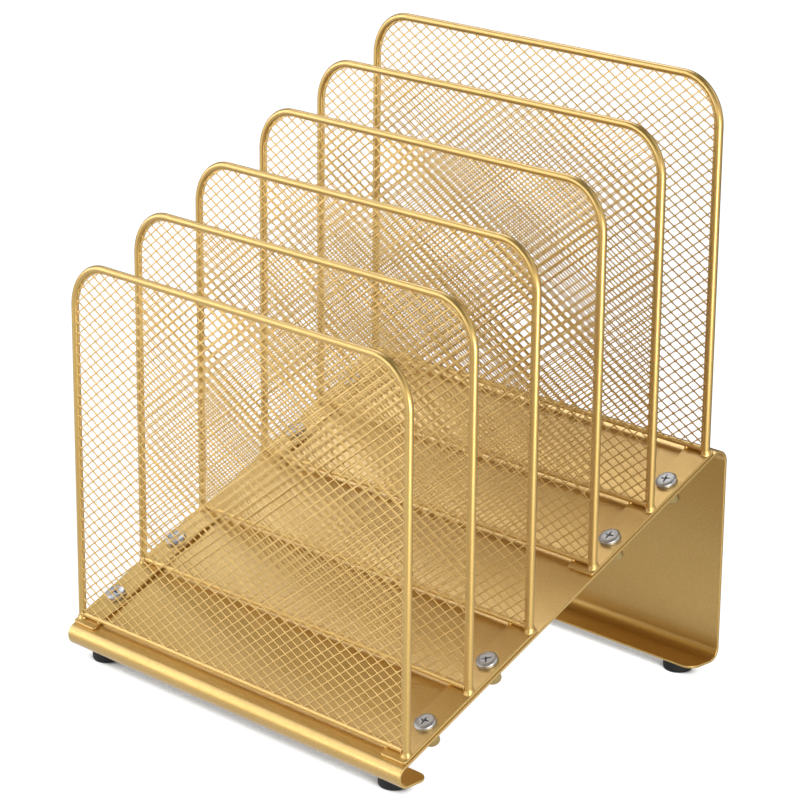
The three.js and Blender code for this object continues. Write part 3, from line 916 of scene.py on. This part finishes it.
def screw_rings():
    """Rings from the recess's floor up its walls, over the dome, round the rim and down the
    shank. Between the recess and the rim each ring is a mix of cross and circle."""
    cross = cross_ring()
    angles = np.unwrap(np.arctan2(cross[:, 1], cross[:, 0]))
    even = np.linspace(angles[0], angles[0] + 2 * math.pi, len(cross), endpoint=False)
    angles = (1 - EVENNESS) * angles + EVENNESS * even
    circle = np.stack([np.cos(angles), np.sin(angles)], -1)
    floor = HEAD_TOP - RECESS_DEPTH
    rings = [np.c_[POINT_SHARE * cross, np.full(len(cross), floor - RECESS_POINT_DEPTH)],
             np.c_[FLOOR_SHARE * cross, np.full(len(cross), floor)],
             np.c_[WALL_SHARE * cross, dome_height(np.hypot(*cross.T)) - RECESS_LIP_DEPTH]]
    for mix in CIRCLE_MIXES:
        flat = (1 - mix) * LIP_SHARE * cross + mix * HEAD_RADIUS * DOME_SHARE * circle
        rings.append(np.c_[flat, dome_height(np.hypot(*flat.T))])
    outside = [(HEAD_RADIUS, HEAD_BASE + HEAD_RIM), (HEAD_RADIUS, HEAD_BASE + HEAD_BEVEL),
               (HEAD_RADIUS - HEAD_BEVEL, HEAD_BASE), (SHANK_RADIUS, HEAD_BASE),
               (SHANK_RADIUS, SHANK_END)]
    for radius, height in outside:
        rings.append(np.c_[radius * circle, np.full(len(cross), height)])
    return np.stack(rings)


print("rings and points of a screw:", screw_rings().shape[:2])


# %% Screws
SCREW_SHIFT = 2.0
SCREW_TURNS = np.radians([12, 38, 5, 20])


def screw_places():
    """Places of the screws along the slope: a little below the middle between neighbouring
    dividers of a unit."""
    gaps = range(DIVIDERS_PER_UNIT - 1)
    middles = [start + (i + 0.5) * DIVIDER_PITCH for start in UNIT_STARTS for i in gaps]
    return [middle - SCREW_SHIFT for middle in middles]


def make_screw(node, x, along, turned_by):
    """The rings, turned about the screw's axis and set square on the deck."""
    rings = screw_rings()
    cosine, sine = math.cos(turned_by), math.sin(turned_by)
    local = rings[..., :2] @ np.array([[cosine, sine], [-sine, cosine]])
    placed = on_deck(x + local[..., 0], along + local[..., 1], rings[..., 2])
    return make_piece(node, tube_shell(placed), "plated", zinc_plate, "zinc_plate", sharp_angle=35)


for i, along in enumerate(screw_places()):
    for side_name, side in SIDES.items():
        node = f"screw_{side_name}_{i + 1}"
        make_screw(node, side * STRIP_CENTRE_X, along, side * SCREW_TURNS[i])
print("screws at", np.round(screw_places(), 1), "mm up the slope")

# %% [markdown]
# ## Nuts and feet
# Both are turned shapes, as from a lathe: the nut is a short barrel with a rounded closed end,
# and the foot a rubber pad with a soft lower edge. The Screw modifier could spin a profile,
# but as rings they are closed by the same helper as every other shell here.

# %% Turned shapes
AXIS_RADIUS = 0.05


def turned_rings(profile, sides=40):
    """Rings of a profile turned about Z: radius times cosine and sine, and the height."""
    around = once_around(sides)
    radius, height = np.array(profile).T[:, :, None]
    flat = radius * np.cos(around), radius * np.sin(around)
    return np.stack(np.broadcast_arrays(*flat, height), -1)


def rounded_edge(radius, bottom, edge, steps=7):
    """Quarter circle that rounds a lower edge, from the bottom face out to the side."""
    angle = np.linspace(-math.pi / 2, 0, steps)
    return list(zip(radius - edge + edge * np.cos(angle), bottom + edge + edge * np.sin(angle)))


print("points along a rounded edge:", len(rounded_edge(1.0, 0, 1.0)))


# %% Nuts
NUT_RADIUS, NUT_BOTTOM, NUT_EDGE, NUT_CHAMFER = 4.0, -11.0, 1.6, 0.4
BORE_RADIUS, BORE_BOTTOM = SHANK_RADIUS + 0.3, NUT_BOTTOM + 1.3


def make_nut(node, x, along):
    """A barrel below the deck, from its rounded end up to the sheet and into the bore."""
    top = -SHEET_THICKNESS
    profile = [(AXIS_RADIUS, NUT_BOTTOM)] + rounded_edge(NUT_RADIUS, NUT_BOTTOM, NUT_EDGE)
    profile += [(NUT_RADIUS, top - NUT_CHAMFER), (NUT_RADIUS - NUT_CHAMFER, top)]
    profile += [(BORE_RADIUS, top), (BORE_RADIUS, BORE_BOTTOM), (AXIS_RADIUS, BORE_BOTTOM)]
    rings = turned_rings(profile)
    placed = on_deck(x + rings[..., 0], along + rings[..., 1], rings[..., 2])
    return make_piece(node, tube_shell(placed), "plated", yellow_zinc, "yellow_zinc")


for i, along in enumerate(screw_places()):
    for side_name, side in SIDES.items():
        make_nut(f"nut_{side_name}_{i + 1}", side * STRIP_CENTRE_X, along)
print("nuts:", 2 * NUT_RADIUS, "mm across")

# %% Feet
FOOT_RADIUS, FOOT_EDGE, FOOT_CHAMFER = 8.0, 1.6, 0.3


def make_foot(node):
    """A pad centred on its node's box, from the floor up to the flange."""
    low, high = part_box(node)
    centre = (np.array(low) + np.array(high)) / 2 / MM
    profile = [(AXIS_RADIUS, 0)] + rounded_edge(FOOT_RADIUS, 0, FOOT_EDGE)
    profile += [(FOOT_RADIUS, FOOT_HEIGHT - FOOT_CHAMFER), (FOOT_RADIUS - FOOT_CHAMFER, FOOT_HEIGHT),
                (AXIS_RADIUS, FOOT_HEIGHT)]
    rings = turned_rings(profile) + np.array([centre[0], centre[1], 0])
    return make_piece(node, tube_shell(rings), "moulded", black_rubber, "black_rubber")


for end in ("front", "rear"):
    for side_name in SIDES:
        make_foot(f"foot_{end}_{side_name}")
print("feet:", 2 * FOOT_RADIUS, "mm across")

# %% [markdown]
# ## Floor and light
# A product picture on white: the floor and the surroundings are plain white to the camera, and
# a painted shadow darkens the floor's glow only close under the object. A reflection sees white
# near the horizon, a dimmer floor, and a darker studio overhead and at the rear left, which gives
# the rods their dark side. One big lamp would be simpler, but satin metal shows what it mirrors,
# so six soft boxes stand where one face each mirrors them: above at the left for the deck, at the
# left for the nose, two low ones for the two families of strands, at the right for the bright
# line down the rods, and above at the right for the edges and the bends.

# %% Floor
FLOOR_SIZE = 12.0
FLOOR_MIRRORED = 0.64
PAPER = "#8c8c8c"
# Reach and fall of the shadow that is painted into the floor's glow under the object.
SHADOW_PAINT_REACH = 80.0
SHADOW_PAINT_FALL = {"From Min": 0.15, "From Max": 0.28, "To Min": 0.08, "To Max": 1.0}
REAR_SLANT = (-0.6, 1.0, 0.0)
REAR_FALL = {"From Min": 0.0, "From Max": 0.3, "To Min": 1.0, "To Max": 0.12}


def is_seen(tree, path):
    """One for rays from the camera, in a reflection or through glass, and otherwise zero."""
    seen = path.outputs["Is Camera Ray"]
    for kind in ("Is Glossy Ray", "Is Transmission Ray"):
        seen = add_node(tree, "ShaderNodeMath", {"operation": "MAXIMUM"},
                        {0: seen, 1: path.outputs[kind]}).outputs[0]
    return seen


def dimmed_to_rear(tree, place, fall):
    """One in front, falling towards the rear left by how far a place or direction reaches along
    the rear slant."""
    slant = add_node(
        tree, "ShaderNodeVectorMath", {"operation": "DOT_PRODUCT", 1: REAR_SLANT}, {0: place})
    dimmed = add_node(tree, "ShaderNodeMapRange", fall, {"Value": slant.outputs["Value"]})
    return dimmed.outputs["Result"]


def floor_glow(tree, path):
    """How much the floor glows, with a painted shadow close under the object: hardly where the
    object hides nearly all of the sky, and white elsewhere for the camera. Reflections see
    less, and less still at the rear left."""
    place = add_node(tree, "ShaderNodeTexCoord").outputs["Object"]
    level = add_node(
        tree, "ShaderNodeMapRange", {"To Min": FLOOR_MIRRORED, "To Max": 1.0},
        {"Value": path.outputs["Is Camera Ray"]})
    open_sky = add_node(
        tree, "ShaderNodeAmbientOcclusion", {"samples": 16, "Distance": SHADOW_PAINT_REACH * MM})
    # Painted shadow: the glow fades where ambient occlusion finds the object close above the floor.
    painted_shadow = add_node(tree, "ShaderNodeMapRange", SHADOW_PAINT_FALL, {"Value": open_sky.outputs["AO"]})
    rear = dimmed_to_rear(tree, place, REAR_FALL)
    shape = add_node(
        tree, "ShaderNodeMath", {"operation": "MAXIMUM"}, {0: rear, 1: path.outputs["Is Camera Ray"]})
    glow = level.outputs["Result"]
    for factor in (painted_shadow.outputs["Result"], shape.outputs[0], is_seen(tree, path)):
        glow = add_node(tree, "ShaderNodeMath", {"operation": "MULTIPLY"},
                        {0: glow, 1: factor}).outputs[0]
    return glow


def make_floor():
    """A square floor of white paper, whose glow adds to the light that falls on it."""
    half = FLOOR_SIZE / 2
    mesh = bpy.data.meshes.new("floor")
    corners = [(-half, -half, 0), (half, -half, 0), (half, half, 0), (-half, half, 0)]
    mesh.from_pydata(corners, [], [(0, 1, 2, 3)])
    material, tree = new_material("floor_paper")
    path = add_node(tree, "ShaderNodeLightPath")
    paper = add_node(tree, "ShaderNodeBsdfDiffuse", {"Color": linear(PAPER)})
    lamp = add_node(
        tree, "ShaderNodeEmission", {"Color": (1, 1, 1, 1)}, {"Strength": floor_glow(tree, path)})
    both = add_node(tree, "ShaderNodeAddShader", links={0: paper.outputs[0], 1: lamp.outputs[0]})
    mesh.materials.append(with_surface(material, both))
    floor = bpy.data.objects.new("floor", mesh)
    bpy.context.scene.collection.objects.link(floor)


make_floor()
print("floor:", FLOOR_SIZE, "m square")

# %% Surroundings
WORLD_LIGHT = 0.15
OVERHEAD_FALL = {"From Min": 0.3, "From Max": 0.72, "To Min": 1.0, "To Max": 0.1}
BEHIND_FALL = {"From Min": 0.25, "From Max": 0.95, "To Min": 1.0, "To Max": 0.15}


def studio_shape(tree, path):
    """How bright the studio is by direction, one for the camera: it falls off overhead with the
    direction's height, and towards the rear left."""
    direction = add_node(tree, "ShaderNodeTexCoord").outputs["Generated"]
    parts = add_node(tree, "ShaderNodeSeparateXYZ", links={0: direction})
    overhead = add_node(tree, "ShaderNodeMapRange", OVERHEAD_FALL, {"Value": parts.outputs["Z"]})
    behind = dimmed_to_rear(tree, direction, BEHIND_FALL)
    both = add_node(
        tree, "ShaderNodeMath", {"operation": "MULTIPLY"}, {0: overhead.outputs["Result"], 1: behind})
    shape = add_node(
        tree, "ShaderNodeMath", {"operation": "MAXIMUM"},
        {0: both.outputs[0], 1: path.outputs["Is Camera Ray"]})
    return shape.outputs[0]


def make_world():
    """White for the camera. Reflections see white near the horizon in front, less overhead and
    behind, and what lights the object evenly is dimmer still."""
    world = bpy.data.worlds.new("studio")
    world.use_nodes = True
    tree = world.node_tree
    tree.nodes.clear()
    path = add_node(tree, "ShaderNodeLightPath")
    level = add_node(
        tree, "ShaderNodeMapRange", {"To Min": WORLD_LIGHT, "To Max": 1.0},
        {"Value": is_seen(tree, path)})
    level = add_node(
        tree, "ShaderNodeMath", {"operation": "MULTIPLY"},
        {0: level.outputs["Result"], 1: studio_shape(tree, path)})
    sky = add_node(
        tree, "ShaderNodeBackground", {"Color": (1, 1, 1, 1)}, {"Strength": level.outputs[0]})
    add_node(tree, "ShaderNodeOutputWorld", links={"Surface": sky.outputs[0]})
    bpy.context.scene.world = world


make_world()
print("world:", bpy.context.scene.world.name)

# %% Soft boxes
LAMP_AIM = (0, 0, 0.15)


def soft_box(name, place, size, power):
    """A rectangular lamp that faces the middle of the object, hidden from the camera. Its place
    and size are in metres, and its power in watts."""
    data = bpy.data.lights.new(name, "AREA")
    data.shape = "RECTANGLE"
    data.size, data.size_y = size
    data.energy = power
    lamp = bpy.data.objects.new(name, data)
    lamp.location = place
    lamp.rotation_euler = (Vector(LAMP_AIM) - Vector(place)).to_track_quat("-Z", "Y").to_euler()
    lamp.visible_camera = False
    bpy.context.scene.collection.objects.link(lamp)


soft_box("deck_box", (-1.75, 0.9, 2.7), (1.7, 1.7), 26)
soft_box("nose_box", (-1.25, -0.86, 1.08), (1.1, 1.0), 6)
soft_box("left_box", (-1.51, -0.86, 0.32), (0.8, 0.45), 3.4)
soft_box("front_box", (-0.7, -1.6, 0.36), (0.8, 0.45), 4.4)
soft_box("right_box", (0.62, -0.27, 0.17), (0.35, 0.25), 2.2)
soft_box("edge_box", (1.1, 0.75, 1.85), (1.5, 1.5), 8)
bpy.context.scene.view_settings.view_transform = "Standard"

# %% [markdown]
# ## Last update
# The view layer is brought up to date once more.

# %% Last update
bpy.context.view_layer.update()
